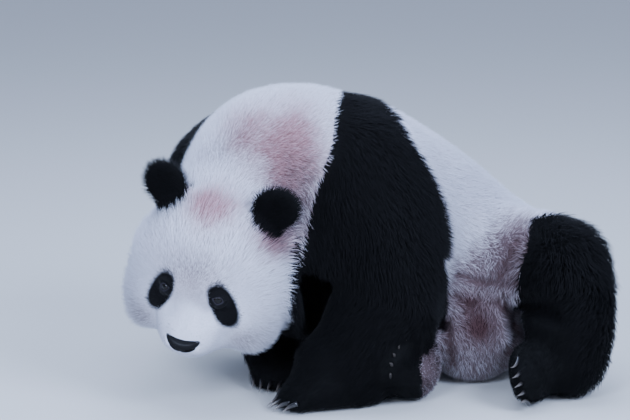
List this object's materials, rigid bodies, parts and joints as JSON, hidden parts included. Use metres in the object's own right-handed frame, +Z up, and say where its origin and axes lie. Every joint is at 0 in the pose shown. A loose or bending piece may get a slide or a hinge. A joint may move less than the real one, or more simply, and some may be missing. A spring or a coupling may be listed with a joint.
{
  "type": "giant panda",
  "caption": "Life-size still model of a giant panda sitting on its rump, leaning forward on its forelegs with its head hung low.",
  "frame": {"origin": "on the floor, under the middle of the model's bounding box", "axes": "+X to the panda's left, from its head end to its seat and left hind leg, the longest way; -Y the way its face looks; +Z up"},
  "size_m": [0.9942, 0.6572, 0.6161],
  "materials": {
    "white_coat": "dense matte white fur, slightly cream",
    "black_coat": "dense soft black fur with a faint sheen",
    "nose_pad": "bare, moist, finely pebbled skin",
    "claw_horn": "worn horn, a little glossy",
    "eye": "wet, dark brown eyeball"
  },
  "bodies": {
    "root": {"breast": "black_coat", "ear_left": "black_coat", "ear_right": "black_coat", "eye_left": "eye", "eye_right": "eye", "forearm_left": "black_coat", "forearm_right": "black_coat", "forepaw_left": "black_coat", "forepaw_left_claw_1": "claw_horn", "forepaw_left_claw_2": "claw_horn", "forepaw_left_claw_3": "claw_horn", "forepaw_left_claw_4": "claw_horn", "forepaw_left_claw_5": "claw_horn", "forepaw_right": "black_coat", "forepaw_right_claw_1": "claw_horn", "forepaw_right_claw_2": "claw_horn", "forepaw_right_claw_3": "claw_horn", "forepaw_right_claw_4": "claw_horn", "forepaw_right_claw_5": "claw_horn", "head": "white_coat", "hindfoot_left": "black_coat", "hindfoot_left_claw_1": "claw_horn", "hindfoot_left_claw_2": "claw_horn", "hindfoot_left_claw_3": "claw_horn", "hindfoot_left_claw_4": "claw_horn", "hindfoot_left_claw_5": "claw_horn", "hindfoot_right": "black_coat", "hindfoot_right_claw_1": "claw_horn", "hindfoot_right_claw_2": "claw_horn", "hindfoot_right_claw_3": "claw_horn", "hindfoot_right_claw_4": "claw_horn", "hindfoot_right_claw_5": "claw_horn", "neck": "white_coat", "nose": "nose_pad", "rump": "white_coat", "shank_left": "black_coat", "shank_right": "black_coat", "shoulder_left": "black_coat", "shoulder_right": "black_coat", "tail": "white_coat", "thigh_left": "black_coat", "thigh_right": "black_coat", "trunk": "white_coat"}
  },
  "joints": []
}
